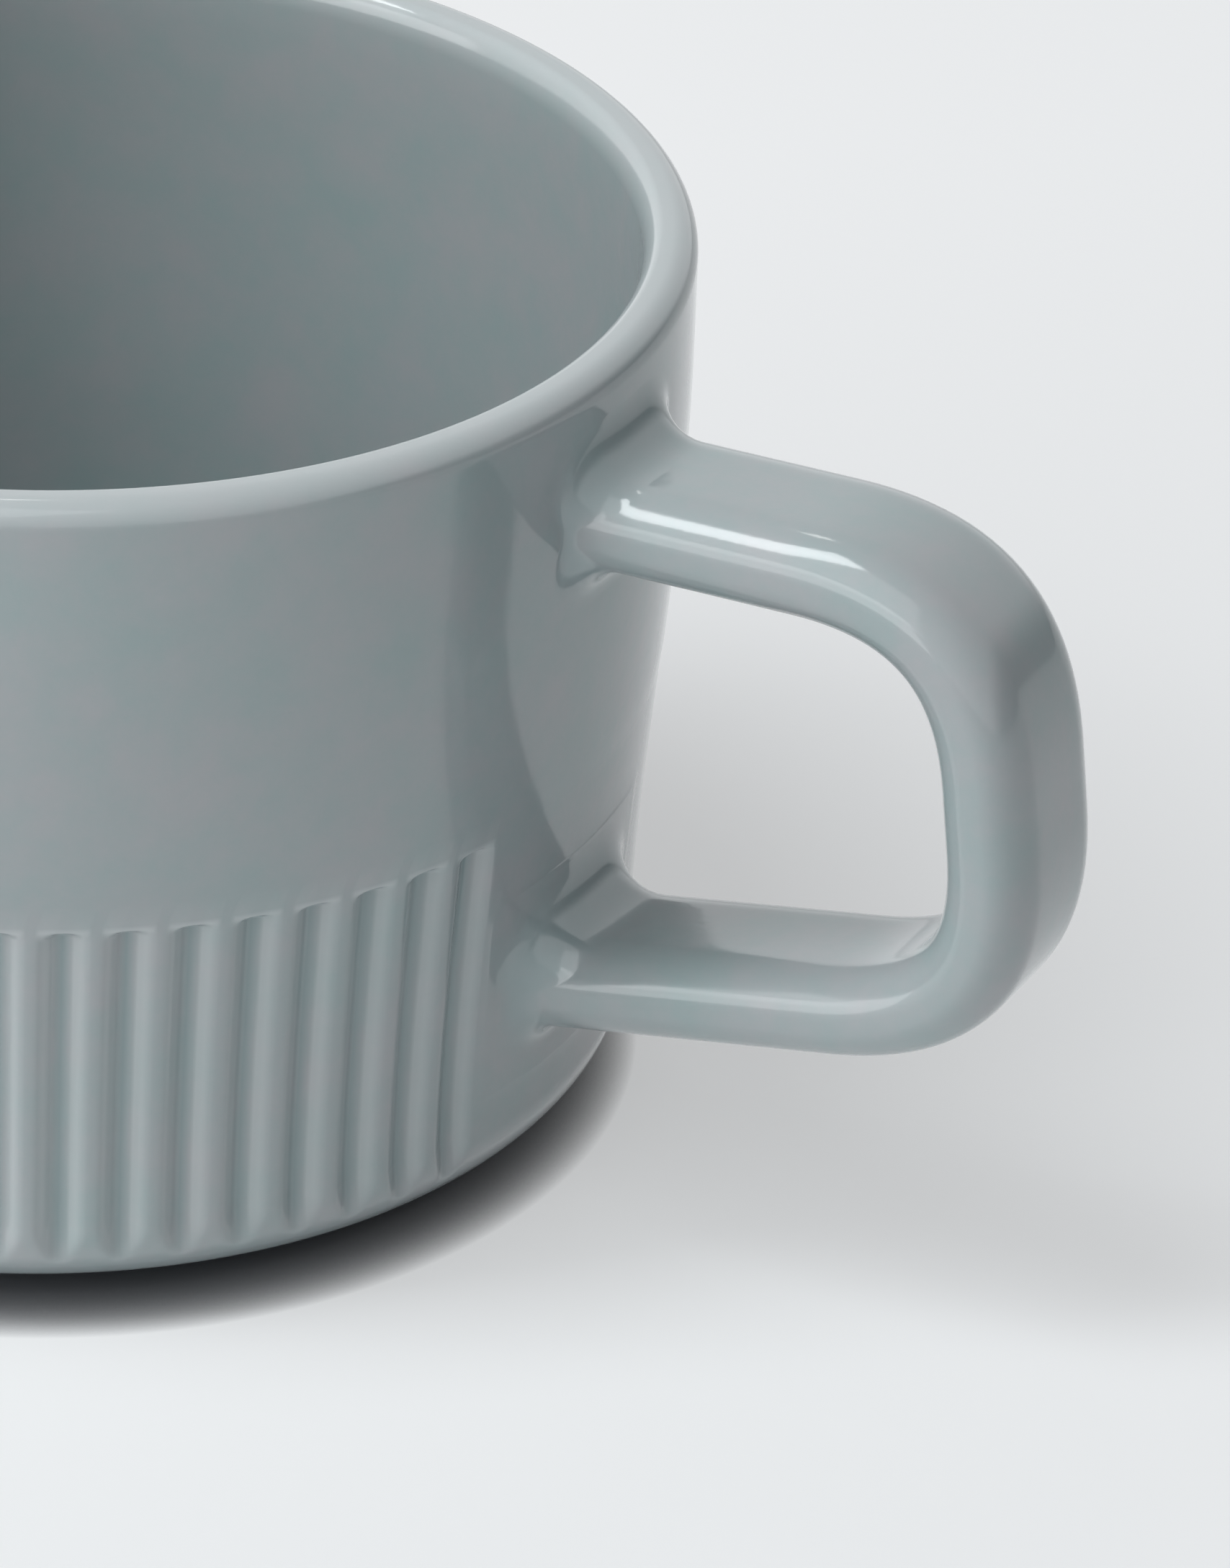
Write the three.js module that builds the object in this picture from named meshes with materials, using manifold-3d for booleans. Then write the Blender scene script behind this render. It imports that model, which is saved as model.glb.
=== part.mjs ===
// An espresso cup in glazed stoneware, with a fluted lower wall and a squared loop handle.
// Millimetres, +Z up. The cup stands on z = 0 and its handle points along +X.
// The bowl is turned from one profile and its flutes are cut as a pattern round the wall.
// The handle is lofted along its centreline and luted on: fired slip fills the joint at each end.

import * as THREE from "three";
import { mergeGeometries, mergeVertices } from "three/addons/utils/BufferGeometryUtils.js";
import Module from "manifold-3d";

// Outside of the bowl
const CUP_HEIGHT = 49.8;
const RIM_RADIUS = 35;
const UPRIGHT_BAND = 7.3; // below the rim the wall stands straight up for this far
const WAIST_RADIUS = 32.9; // the narrowest wall, just above the base corner
const BASE_CORNER_RADIUS = 4.7;
const FOOT_HEIGHT = 1.5; // the bowl's underside stands this far above the table
const FOOT_RADIUS = 25; // outside of the foot ring, set well in under the bowl
const FOOT_RING_WIDTH = 3.2;
const FOOT_DRAFT = 0.6; // the ring's outer side slopes outwards by this much towards the bowl
const FOOT_RECESS_DEPTH = 1.2;

// Inside of the bowl
const LIP_THICKNESS = 2.9;
const LIP_OUTER_RADIUS = 1.4;
const LIP_INNER_WIDTH = 1; // the lip falls to the inside in a quarter of an ellipse
const LIP_INNER_DROP = 1.9;
const WALL_THICKNESS = 3; // at the foot of the wall, thinning up to the lip
const FLOOR_THICKNESS = 4;
const INNER_CORNER_RADIUS = 9;

// Flutes, a band of shallow round-bottomed grooves that leaves a plain panel under the handle
const FLUTE_TOP = 24.8;
const FLUTE_WIDTH = 2.75;
const FLUTE_LAND = 0.55; // the wall left between two flutes, at least about this wide
const FLUTE_DEPTH = 0.55;
const FLUTE_END = 0.6; // over this height a flute comes up to its square top
const FLUTE_SWING = 1.5; // below the wall the tool has swung out this far by the end of its stroke
const PLAIN_BEFORE = 8.2; // width of the wall without flutes on the -Y side of the handle's middle
const PLAIN_BEYOND = 17; // and on its +Y side

// Handle, a strap of rounded section
const HANDLE_WIDTH = 10.5; // across the strap, along the rim
const HANDLE_THICKNESS = 5.1;
const HANDLE_EDGE_RADIUS = 2.3; // of the strap's four long edges, which leave its sides nearly round
const HANDLE_REACH = 23.4; // from the rim's outer edge to the middle of the grip
const HANDLE_DROP = 8.1; // from the rim down to the middle of the upper root
const HANDLE_FOOT = 13.6; // height of the middle of the lower root
const UPPER_ARM_RISE = 0.7; // the upper arm climbs this much on its way out
const LOWER_ARM_RISE = 5.25;
const GRIP_LEAN = 2.9; // the grip stands this much further out at its bottom than at its top
const HANDLE_CORNER = 10.1; // length of the arm and of the grip that each bend takes up
const BEND_FULLNESS = 0.69; // 0.55 is a plain round bend, more is a squarer one

// Slip joints between handle and wall
const UPPER_FILLET_ABOVE = 3; // the slip is wiped to a large fillet above the strap
const UPPER_FILLET_BESIDE = 0.6; // beside the upper root it is nearly wiped away
const UPPER_FILLET_BELOW = 2.4;
const LOWER_FILLET_ABOVE = 3.8;
const LOWER_FILLET_BESIDE = 1.5;
const LOWER_FILLET_BELOW = 1.5;
const FILLET_START_DEG = 20; // the wiped edge of the slip ends at this slope to the wall
const JOINT_GAP = 0.3; // clearance between two pieces that meet

// Fineness of the facets
const TURNED_STEPS = 64;
const UPPER_WALL_STEPS = 4;
const INNER_WALL_STEPS = 4;
const CORNER_STEPS = 5;
const LIP_STEPS = 3;
const FLUTE_ARC_STEPS = 4;
const FLUTE_WALL_STEPS = 3;
const EDGE_STEPS = 6;
const FLAT_STEPS = 4;
const BEND_STEPS = 8;
const FILLET_STEPS = 4;
const CAP_SCALES = [0.35, 0.7];

const wasm = await Module();
wasm.setup();

const { smoothstep, lerp, degToRad } = THREE.MathUtils;

// Solids

function solidOf(geometry) {
  const bare = geometry.clone();
  bare.deleteAttribute("normal");
  bare.deleteAttribute("uv");
  const merged = mergeVertices(bare);
  return new wasm.Manifold(
    new wasm.Mesh({
      numProp: 3,
      vertProperties: merged.getAttribute("position").array,
      triVerts: new Uint32Array(merged.index.array),
    }),
  );
}

function geometryOf(solid) {
  const { vertProperties, triVerts } = solid.getMesh();
  const geometry = new THREE.BufferGeometry();
  geometry.setAttribute("position", new THREE.BufferAttribute(vertProperties, 3));
  geometry.setIndex(new THREE.BufferAttribute(triVerts, 1));
  return geometry;
}

// A closed body through rings of points, each end closed by a fan.
// The rings run so that the body lies to the left of a ring's points, seen from its far end.
function loft(rings) {
  const count = rings[0].length;
  const points = rings.flat();
  const faces = [];
  for (let ring = 0; ring + 1 < rings.length; ring++) {
    for (let k = 0; k < count; k++) {
      const a = ring * count + k;
      const b = ring * count + ((k + 1) % count);
      faces.push(a, b, b + count, a, b + count, a + count);
    }
  }
  const last = (rings.length - 1) * count;
  const firstHub = points.length;
  const lastHub = firstHub + 1;
  points.push(middleOf(rings[0]), middleOf(rings.at(-1)));
  for (let k = 0; k < count; k++) {
    const next = (k + 1) % count;
    faces.push(firstHub, next, k);
    faces.push(lastHub, last + k, last + next);
  }
  const geometry = new THREE.BufferGeometry().setFromPoints(points);
  geometry.setIndex(faces);
  return geometry;
}

function middleOf(ring) {
  const middle = new THREE.Vector3();
  ring.forEach((point) => middle.add(point));
  return middle.divideScalar(ring.length);
}

// A profile of (radius, height) turned about the upright axis
function turned(profile) {
  return new THREE.LatheGeometry(profile, TURNED_STEPS).rotateX(Math.PI / 2);
}

function arc(x, y, radius, fromDeg, toDeg, steps) {
  const points = [];
  for (let i = 0; i <= steps; i++) {
    const angle = degToRad(lerp(fromDeg, toDeg, i / steps));
    points.push(new THREE.Vector2(x + radius * Math.cos(angle), y + radius * Math.sin(angle)));
  }
  return points;
}

// Bowl

const waistZ = FOOT_HEIGHT + BASE_CORNER_RADIUS; // here the base corner ends and the wall begins

// The wall swells from its waist to the rim in one soft curve, upright at both ends.
function wallRadius(z) {
  const swell = smoothstep(z, waistZ, CUP_HEIGHT - UPRIGHT_BAND);
  return lerp(WAIST_RADIUS, RIM_RADIUS, swell);
}

const floorTop = FOOT_HEIGHT + FLOOR_THICKNESS;
const innerCornerTop = floorTop + INNER_CORNER_RADIUS;
const fluteShoulder = FLUTE_TOP - FLUTE_END; // up to here a flute has its full depth

function innerRadius(z) {
  const up = (z - innerCornerTop) / (CUP_HEIGHT - innerCornerTop);
  return wallRadius(z) - lerp(WALL_THICKNESS, LIP_THICKNESS, up);
}

function wallPoints(radiusAt, fromZ, toZ, steps) {
  const points = [];
  for (let i = 0; i <= steps; i++) {
    const z = lerp(fromZ, toZ, i / steps);
    points.push(new THREE.Vector2(radiusAt(z), z));
  }
  return points;
}

const lipInnerZ = CUP_HEIGHT - LIP_INNER_DROP; // below this the inside of the wall is plain

function lipInside() {
  const x = innerRadius(lipInnerZ) + LIP_INNER_WIDTH;
  const quarter = arc(0, 0, 1, 90, 180, LIP_STEPS);
  return quarter.map(
    (point) => new THREE.Vector2(x + point.x * LIP_INNER_WIDTH, lipInnerZ + point.y * LIP_INNER_DROP),
  );
}

function bowlProfile() {
  const underside = WAIST_RADIUS - BASE_CORNER_RADIUS;
  const footInner = FOOT_RADIUS - FOOT_RING_WIDTH;
  const lipOuterZ = CUP_HEIGHT - LIP_OUTER_RADIUS;
  const cornerX = innerRadius(innerCornerTop) - INNER_CORNER_RADIUS;
  return [
    new THREE.Vector2(0, FOOT_RECESS_DEPTH),
    new THREE.Vector2(footInner - FOOT_RECESS_DEPTH, FOOT_RECESS_DEPTH),
    new THREE.Vector2(footInner, 0),
    new THREE.Vector2(FOOT_RADIUS, 0),
    new THREE.Vector2(FOOT_RADIUS + FOOT_DRAFT, FOOT_HEIGHT),
    ...arc(underside, waistZ, BASE_CORNER_RADIUS, -90, 0, CORNER_STEPS),
    ...wallPoints(wallRadius, waistZ, fluteShoulder, FLUTE_WALL_STEPS).slice(1),
    ...wallPoints(wallRadius, fluteShoulder, CUP_HEIGHT - UPRIGHT_BAND, UPPER_WALL_STEPS).slice(1),
    ...arc(RIM_RADIUS - LIP_OUTER_RADIUS, lipOuterZ, LIP_OUTER_RADIUS, 0, 90, LIP_STEPS),
    ...lipInside(),
    ...wallPoints(innerRadius, lipInnerZ, innerCornerTop, INNER_WALL_STEPS).slice(1),
    ...arc(cornerX, innerCornerTop, INNER_CORNER_RADIUS, 0, -90, CORNER_STEPS).slice(1),
    new THREE.Vector2(0, floorTop),
  ];
}

// Flutes

// One flute's cutter, at the +X side of the wall: a round-nosed tool drawn down the wall.
// It swings out a little below the wall, so each flute runs out softly where the base corner turns in.
function fluteCutter() {
  const noseRadius = (FLUTE_WIDTH ** 2 / 4 + FLUTE_DEPTH ** 2) / (2 * FLUTE_DEPTH);
  const clear = FLUTE_DEPTH / 2; // the tool's back stays this far outside the wall
  const halfAngle = Math.acos((noseRadius - FLUTE_DEPTH - clear) / noseRadius);
  const ring = (z, lift) => {
    const centre = wallRadius(z) + noseRadius - FLUTE_DEPTH + lift;
    const points = [];
    for (let i = 0; i <= FLUTE_ARC_STEPS; i++) {
      const angle = lerp(halfAngle, -halfAngle, i / FLUTE_ARC_STEPS);
      const x = centre - noseRadius * Math.cos(angle);
      points.push(new THREE.Vector3(x, noseRadius * Math.sin(angle), z));
    }
    return points;
  };
  const rings = [ring(-BASE_CORNER_RADIUS, FLUTE_SWING)];
  for (let i = 0; i <= FLUTE_WALL_STEPS; i++) {
    rings.push(ring(lerp(waistZ, fluteShoulder, i / FLUTE_WALL_STEPS), 0));
  }
  rings.push(ring(FLUTE_TOP, FLUTE_DEPTH / 2));
  return loft(rings);
}

function fluteCutters() {
  const radius = wallRadius(FLUTE_TOP / 2);
  const room = 2 * Math.PI * radius - PLAIN_BEFORE - PLAIN_BEYOND;
  const count = Math.round(room / (FLUTE_WIDTH + FLUTE_LAND));
  const firstEdge = PLAIN_BEYOND / radius;
  const pitchAngle = room / radius / count;
  const cutters = [];
  for (let i = 0; i < count; i++) {
    cutters.push(fluteCutter().rotateZ(firstEdge + (i + 0.5) * pitchAngle));
  }
  return mergeGeometries(cutters);
}

function cupBody() {
  return geometryOf(solidOf(turned(bowlProfile())).subtract(solidOf(fluteCutters())));
}

// Handle

// The centreline lies in the XZ plane: upper arm, bend, grip, bend, lower arm.
function handleCentreline() {
  const upperRootZ = CUP_HEIGHT - HANDLE_DROP;
  const gripX = RIM_RADIUS + HANDLE_REACH;
  const upperRoot = new THREE.Vector2(wallRadius(upperRootZ), upperRootZ);
  const upperCorner = new THREE.Vector2(gripX - GRIP_LEAN / 2, upperRootZ + UPPER_ARM_RISE);
  const lowerCorner = new THREE.Vector2(gripX + GRIP_LEAN / 2, HANDLE_FOOT + LOWER_ARM_RISE);
  const lowerRoot = new THREE.Vector2(wallRadius(HANDLE_FOOT), HANDLE_FOOT);
  const upperBend = bend(upperRoot, upperCorner, lowerCorner);
  const lowerBend = bend(upperCorner, lowerCorner, lowerRoot);
  return { upperRoot, upperBend, lowerBend, lowerRoot };
}

// A soft corner between two straight runs, no longer than half of either run.
function bend(before, corner, after) {
  const size = Math.min(HANDLE_CORNER, corner.distanceTo(before) / 2, corner.distanceTo(after) / 2);
  const start = corner.clone().add(before.clone().sub(corner).setLength(size));
  const end = corner.clone().add(after.clone().sub(corner).setLength(size));
  const startPull = start.clone().lerp(corner, BEND_FULLNESS);
  const endPull = end.clone().lerp(corner, BEND_FULLNESS);
  return new THREE.CubicBezierCurve(start, startPull, endPull, end);
}

// The strap's section: places across it (along Y) and outwards from the loop, and the way each faces
function strapSection() {
  const radius = Math.min(HANDLE_EDGE_RADIUS, 0.46 * HANDLE_THICKNESS, 0.46 * HANDLE_WIDTH);
  const x = HANDLE_WIDTH / 2 - radius;
  const y = HANDLE_THICKNESS / 2 - radius;
  const points = [];
  const edge = (middle, startDeg) => {
    for (let i = 0; i <= EDGE_STEPS; i++) {
      const angle = degToRad(startDeg + (90 * i) / EDGE_STEPS);
      const facing = new THREE.Vector2(Math.cos(angle), Math.sin(angle));
      points.push({ place: middle.clone().addScaledVector(facing, radius), facing });
    }
  };
  const flat = (side) => {
    for (let i = 1; i < FLAT_STEPS; i++) {
      const across = lerp(side * x, -side * x, i / FLAT_STEPS);
      const place = new THREE.Vector2(across, (side * HANDLE_THICKNESS) / 2);
      points.push({ place, facing: new THREE.Vector2(0, side) });
    }
  };
  edge(new THREE.Vector2(x, y), 0);
  flat(1);
  edge(new THREE.Vector2(-x, y), 90);
  edge(new THREE.Vector2(-x, -y), 180);
  flat(-1);
  edge(new THREE.Vector2(x, -y), 270);
  return points;
}

const section = strapSection();

// A place of the section set square to the centreline at a point, where along is the way of travel
function strapPoint(point, along, { x: across, y: outward }) {
  return new THREE.Vector3(point.x - outward * along.y, across, point.y + outward * along.x);
}

function strapRing(point, along) {
  return section.map(({ place }) => strapPoint(point, along, place));
}

// Slides a point along its arm until it stands a distance outside the wall.
function slideToWall(start, outwards, distance) {
  const step = new THREE.Vector3(outwards.x, 0, outwards.y);
  const point = start.clone();
  for (let pass = 0; pass < 20; pass++) {
    const short = wallRadius(point.z) + distance - Math.hypot(point.x, point.y);
    point.addScaledVector(step, short);
  }
  return point;
}

const line = handleCentreline();
const upperArm = line.upperBend.v0.clone().sub(line.upperRoot).normalize();
const lowerArm = line.lowerBend.v3.clone().sub(line.lowerRoot).normalize();
const upperRoot = {
  point: line.upperRoot,
  along: upperArm,
  outwards: upperArm,
  filletAbove: UPPER_FILLET_ABOVE,
  filletBeside: UPPER_FILLET_BESIDE,
  filletBelow: UPPER_FILLET_BELOW,
};
const lowerRoot = {
  point: line.lowerRoot,
  along: lowerArm.clone().negate(),
  outwards: lowerArm,
  filletAbove: LOWER_FILLET_ABOVE,
  filletBeside: LOWER_FILLET_BESIDE,
  filletBelow: LOWER_FILLET_BELOW,
};

function filletRadius(root, facing) {
  const upwards = facing.y * Math.sign(root.along.x);
  const far = upwards > 0 ? root.filletAbove : root.filletBelow;
  return lerp(root.filletBeside, far, smoothstep(Math.abs(upwards), 0, 1));
}

// A ring of the strap at a root, following the round of the wall. Its spread is how far it flares
// beyond the strap and its rise how far it stands off the wall, both as shares of the fillet there.
// lift moves it off the wall by a fixed clearance, and scale shrinks it towards its middle.
function rootRing(root, spread, rise, lift, scale = 1) {
  return section.map(({ place, facing }) => {
    const fillet = filletRadius(root, facing);
    const flared = place.clone().addScaledVector(facing, fillet * spread).multiplyScalar(scale);
    const start = strapPoint(root.point, root.along, flared);
    return slideToWall(start, root.outwards, fillet * rise + lift);
  });
}

// Rings that close a piece at a root, from near its middle out to its edge
function rootCap(root, spread, rise, lift) {
  return [...CAP_SCALES, 1].map((scale) => rootRing(root, spread, rise, lift, scale));
}

function bendRings(curve) {
  const rings = [];
  for (let i = 0; i <= BEND_STEPS; i++) {
    rings.push(strapRing(curve.getPoint(i / BEND_STEPS), curve.getTangent(i / BEND_STEPS)));
  }
  return rings;
}

function handle() {
  const seat = 2 * JOINT_GAP;
  return loft([
    ...rootCap(upperRoot, 0, 1, seat),
    ...bendRings(line.upperBend),
    ...bendRings(line.lowerBend),
    ...rootCap(lowerRoot, 0, 1, seat).reverse(),
  ]);
}

// Slip joints

// The pad of slip between the wall and one end of the handle, flaring into a fillet at the wall.
function slipJoint(root) {
  const wipedEdge = 1 - Math.sin(degToRad(FILLET_START_DEG));
  const rings = rootCap(root, wipedEdge, 0, JOINT_GAP);
  for (let i = 0; i < FILLET_STEPS; i++) {
    const slope = degToRad(lerp(FILLET_START_DEG, 90, i / FILLET_STEPS));
    rings.push(rootRing(root, 1 - Math.sin(slope), 1 - Math.cos(slope), JOINT_GAP));
  }
  rings.push(...rootCap(root, 0, 1, JOINT_GAP).reverse());
  return root === lowerRoot ? loft(rings.reverse()) : loft(rings);
}

// Assembly

function piece(name, geometry, color) {
  const material = new THREE.MeshStandardMaterial({ color, roughness: 0.2, metalness: 0 });
  const mesh = new THREE.Mesh(geometry, material);
  mesh.name = name;
  return mesh;
}

const cup = new THREE.Group();
cup.add(
  piece("cup_body", cupBody(), 0x8d9a9c),
  piece("handle", handle(), 0x8f9da2),
  piece("upper_slip_joint", slipJoint(upperRoot), 0x88959a),
  piece("lower_slip_joint", slipJoint(lowerRoot), 0x88959a),
);

// The origin is on the ground under the middle of the cup and handle together.
const extent = new THREE.Box3().setFromObject(cup);
cup.position.x = -(extent.min.x + extent.max.x) / 2;

const part = new THREE.Group();
part.add(cup);

export default part;
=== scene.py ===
# %% [markdown]
# A glazed espresso cup, as a lesson in building smooth ceramic in Blender.
# A potter turns the bowl, cuts flutes round its lower wall, lutes a bent strap on as a handle
# and dips the whole in glaze. The imported model gives the true size and place of each of these
# pieces, so the lesson starts by loading it and measuring what the finished skin has to match.

# %% Load the frame and measure the bowl and the handle
import math

import bpy
import numpy as np
from mathutils import Matrix, Vector


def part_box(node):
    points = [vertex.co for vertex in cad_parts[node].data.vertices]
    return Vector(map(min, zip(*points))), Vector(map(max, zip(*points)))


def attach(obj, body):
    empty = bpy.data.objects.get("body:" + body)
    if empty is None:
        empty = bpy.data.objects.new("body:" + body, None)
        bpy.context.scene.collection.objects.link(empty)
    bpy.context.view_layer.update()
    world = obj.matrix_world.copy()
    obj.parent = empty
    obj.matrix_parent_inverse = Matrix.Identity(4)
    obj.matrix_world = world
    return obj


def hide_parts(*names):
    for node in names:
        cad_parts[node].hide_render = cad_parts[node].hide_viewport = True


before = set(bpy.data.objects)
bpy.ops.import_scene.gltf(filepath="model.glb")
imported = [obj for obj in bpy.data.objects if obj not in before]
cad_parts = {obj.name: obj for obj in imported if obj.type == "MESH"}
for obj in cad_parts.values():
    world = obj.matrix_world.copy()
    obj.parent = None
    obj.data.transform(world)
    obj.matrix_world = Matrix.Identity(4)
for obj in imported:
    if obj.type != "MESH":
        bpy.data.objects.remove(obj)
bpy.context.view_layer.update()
MM = 1000.0

bowl_low, bowl_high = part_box("cup_body")
strap_low, strap_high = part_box("handle")
AXIS_X = (bowl_low.x + bowl_high.x) / 2 * MM
RIM_RADIUS = (bowl_high.x - bowl_low.x) / 2 * MM
CUP_HEIGHT = bowl_high.z * MM
HANDLE_WIDTH = (strap_high.y - strap_low.y) * MM
print(f"rim radius {RIM_RADIUS:.2f} mm, height {CUP_HEIGHT:.2f} mm, axis at x {AXIS_X:.2f} mm")
print(f"handle strap {HANDLE_WIDTH:.2f} mm wide")

# %% [markdown]
# The camera comes first, because every later choice is judged through it. The picture was taken
# with a long lens from above the rim, a little to the left of the handle. A camera can be aimed
# with a Track To constraint, but here its turn, tilt and roll are known angles, so three plain
# rotations set it and nothing has to be solved. The frame is taller than it is wide, so the
# sensor's 36 mm lie along its height.

# %% Camera at the viewpoint of the picture
CAMERA_DISTANCE = 550.0
CAMERA_ELEVATION = math.radians(25.86)
CAMERA_AZIMUTH = math.radians(29.8)
CAMERA_TURN = math.radians(3.68)
CAMERA_TILT = math.radians(28.98)
CAMERA_ROLL = math.radians(2.41)
CAMERA_LENS = 237.9


def photo_direction(x, y, z):
    """A direction as seen from the camera's side: x to its right, y away from it, z up."""
    turn = Matrix.Rotation(CAMERA_AZIMUTH, 3, "Z")
    return turn @ Vector((x, y, z))


def make_camera():
    camera = bpy.data.objects.new("camera", bpy.data.cameras.new("camera"))
    bpy.context.scene.collection.objects.link(camera)
    camera.data.sensor_width = 36.0
    camera.data.lens = CAMERA_LENS
    camera.data.clip_start = 0.01
    camera.data.clip_end = 20.0
    away = photo_direction(0, -math.cos(CAMERA_ELEVATION), math.sin(CAMERA_ELEVATION))
    rim_middle = Vector((AXIS_X, 0, CUP_HEIGHT))
    place = (rim_middle + away * CAMERA_DISTANCE) / MM
    turn = Matrix.Rotation(CAMERA_AZIMUTH - CAMERA_TURN, 4, "Z")
    tilt = Matrix.Rotation(math.pi / 2 - CAMERA_TILT, 4, "X")
    roll = Matrix.Rotation(CAMERA_ROLL, 4, "Z")
    camera.matrix_world = Matrix.Translation(place) @ turn @ tilt @ roll
    bpy.context.scene.camera = camera
    return camera


camera = make_camera()
print("camera at", [round(value, 4) for value in camera.matrix_world.translation])

# %% [markdown]
# The bowl's outside is one soft curve from a narrow waist to the rim, with a rounded corner under
# it, and the inside follows it at the wall's thickness. On a wheel this is a template held against
# the clay. A Screw modifier on a drawn profile could turn it, but the flutes and the handle's
# roots have to grow out of the same skin, so the profile is kept as formulas that any point can ask.

# %% The bowl's profile
UPRIGHT_BAND = 7.3
WAIST_RADIUS = 32.9
BASE_CORNER = 4.7
LIP_THICKNESS = 2.9
LIP_OUTER_ROUND = 1.4
LIP_INNER_WIDTH = 1.0
LIP_INNER_DROP = 1.9
WALL_THICKNESS = 3.0
FLOOR_THICKNESS = 4.0
INNER_CORNER = 9.0
FOOT_HEIGHT = 1.5
FOOT_RADIUS = 25.0
FOOT_RING_WIDTH = 3.2
FOOT_DRAFT = 0.6
FOOT_RECESS = 1.2

WAIST_Z = FOOT_HEIGHT + BASE_CORNER
FLOOR_TOP = FOOT_HEIGHT + FLOOR_THICKNESS
INNER_CORNER_TOP = FLOOR_TOP + INNER_CORNER
UNDERSIDE_RADIUS = WAIST_RADIUS - BASE_CORNER
FOOT_INNER = FOOT_RADIUS - FOOT_RING_WIDTH


def smooth(share):
    """Rises softly from 0 to 1 as share does."""
    share = np.clip(share, 0, 1)
    return share * share * (3 - 2 * share)


def wall_radius(z):
    swell = (np.asarray(z, float) - WAIST_Z) / (CUP_HEIGHT - UPRIGHT_BAND - WAIST_Z)
    return WAIST_RADIUS + (RIM_RADIUS - WAIST_RADIUS) * smooth(swell)


def inner_radius(z):
    up = (np.asarray(z, float) - INNER_CORNER_TOP) / (CUP_HEIGHT - INNER_CORNER_TOP)
    return wall_radius(z) - (WALL_THICKNESS + (LIP_THICKNESS - WALL_THICKNESS) * up)


print(f"wall radius at the waist {float(wall_radius(WAIST_Z)):.2f} mm, at the rim {RIM_RADIUS:.2f} mm")

# %% [markdown]
# The flutes are shallow grooves cut down the wall with a round-nosed tool, and a plain panel is
# left for the handle. Their tops end square and their lower ends run out where the base corner
# turns away from the tool. Glaze fills the bed and rounds the edges, so the groove's section falls
# and rises like a soft wave. Where the tool leaves the wall, a softplus curve, log(1 + e^x), eases
# the corner that a hard maximum would leave.

# %% The flutes
FLUTE_TOP = 24.8
FLUTE_WIDTH = 2.75
FLUTE_LAND = 0.55
FLUTE_DEPTH = 0.88
FLUTE_END = 0.7
FLUTE_EDGE = 1.46
FLUTE_BED = 0.05
TOOL_SWING = 0.14
TOOL_EASE = 0.07
PLAIN_BEFORE = 8.2
PLAIN_BEYOND = 17.0

FLUTE_RADIUS = float(wall_radius(FLUTE_TOP / 2))
PANEL_START = -PLAIN_BEFORE / FLUTE_RADIUS
PANEL_END = PLAIN_BEYOND / FLUTE_RADIUS
FLUTED_ANGLE = 2 * math.pi - PANEL_END + PANEL_START
FLUTE_COUNT = round(FLUTED_ANGLE * FLUTE_RADIUS / (FLUTE_WIDTH + FLUTE_LAND))
PITCH_ANGLE = FLUTED_ANGLE / FLUTE_COUNT


def eased(value, ease):
    """The larger of value and 0, with its corner eased."""
    return ease * np.logaddexp(0, value / ease)


def flute_offset(angle):
    """How far round the wall an angle lies from the middle of its flute, in millimetres."""
    into_band = angle - PANEL_END
    place = into_band / PITCH_ANGLE
    offset = (place - np.floor(place) - 0.5) * PITCH_ANGLE * FLUTE_RADIUS
    return np.where(into_band < 0, 2 * FLUTE_EDGE, offset)


def flute_depth(angle, z):
    groove = smooth((FLUTE_EDGE - np.abs(flute_offset(angle))) / (FLUTE_EDGE - FLUTE_BED))
    end = smooth((FLUTE_TOP - z) / FLUTE_END)
    return FLUTE_DEPTH * groove * end


def fluted_radius(profile_radius, angle, z):
    """The wall's radius once the tool has passed: it cuts where the wall stands proud of it."""
    swing = TOOL_SWING * max(WAIST_Z - z, 0)
    tool = wall_radius(max(z, WAIST_Z)) + swing - flute_depth(angle, z)
    return profile_radius - eased(profile_radius - tool, TOOL_EASE)


print(f"{FLUTE_COUNT} flutes, {math.degrees(PITCH_ANGLE):.2f} degrees apart")

# %% [markdown]
# The skin is a grid: columns run up the wall and rows run round it. Each flute needs a dozen columns
# for its soft section. Above the flutes a third of the columns is enough, which keeps the mesh
# light where it is smooth. The panel's columns are even, because the handle's roots are let into
# them.

# %% Columns of the grid
ROOT_COLUMNS = 24
BEYOND_COLUMNS = 12
PANEL_COLUMNS = ROOT_COLUMNS + BEYOND_COLUMNS
FLUTE_COLUMNS = (0.0, 0.3, 0.6, 0.9, 1.2, 1.45)
FINE_PER_COARSE = 3


def column_angles():
    """Angles of the fine columns from the panel's first edge, once round."""
    at_root = np.linspace(PANEL_START, -PANEL_START, ROOT_COLUMNS, endpoint=False)
    beyond = np.linspace(-PANEL_START, PANEL_END, BEYOND_COLUMNS, endpoint=False)
    half = np.array(FLUTE_COLUMNS) / FLUTE_RADIUS
    land = -PITCH_ANGLE / 2
    one_flute = np.concatenate([[land], -half[:0:-1], half])
    middles = PANEL_END + (np.arange(FLUTE_COUNT) + 0.5) * PITCH_ANGLE
    return np.concatenate([at_root, beyond, (middles[:, None] + one_flute).ravel()])


FINE = column_angles()
FLUTED_PICK = np.arange(PANEL_COLUMNS, len(FINE), FINE_PER_COARSE)
COARSE_PICK = np.concatenate([np.arange(PANEL_COLUMNS), FLUTED_PICK])
COARSE = FINE[COARSE_PICK]
print(f"{len(FINE)} columns over the flutes, {len(COARSE)} elsewhere")

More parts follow.
